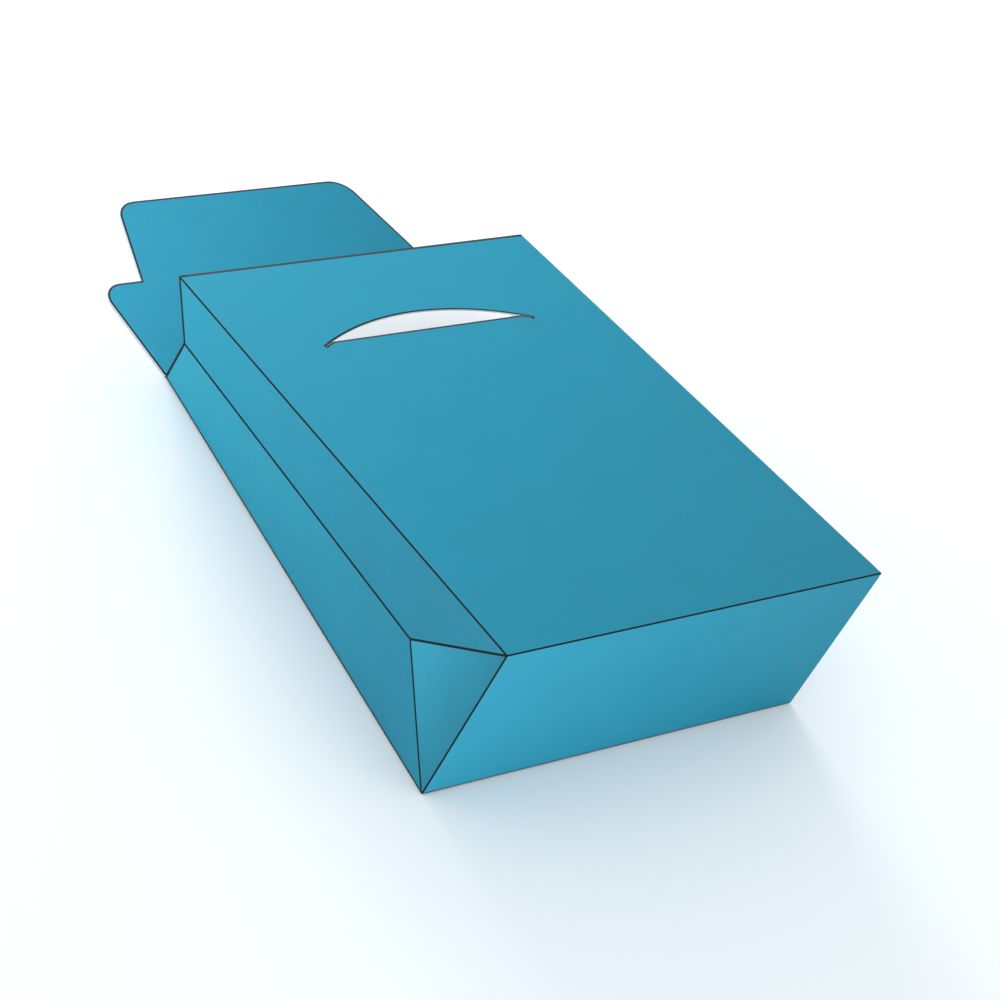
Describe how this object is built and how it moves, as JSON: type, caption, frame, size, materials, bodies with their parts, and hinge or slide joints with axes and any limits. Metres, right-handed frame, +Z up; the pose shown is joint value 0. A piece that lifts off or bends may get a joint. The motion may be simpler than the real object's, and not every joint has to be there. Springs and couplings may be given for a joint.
{
  "type": "gable bag",
  "caption": "Folded carton bag with gusseted sides and a fold-over closing flap that tucks into a curved slot, lying open.",
  "frame": {"origin": "middle of the footprint, on the surface that the back panel and the flap lie on", "axes": "+Z up from the back panel to the front panel, +Y from the bottom to the mouth and the flap, X along the bottom's length"},
  "size_m": [0.2028, 0.3294, 0.0844],
  "materials": {
    "body_board": "satin printed carton board",
    "flap_board": "satin printed carton board"
  },
  "bodies": {
    "bag": {"bag_body": "body_board"},
    "flap": {"top_flap": "flap_board"}
  },
  "joints": [
    {"name": "flap_hinge", "type": "hinge", "parent": "bag", "child": "flap", "pos_m": [0, 0.0634, 0.0006], "axis": [1, 0, 0], "range_deg": [0, 65.5]}
  ]
}
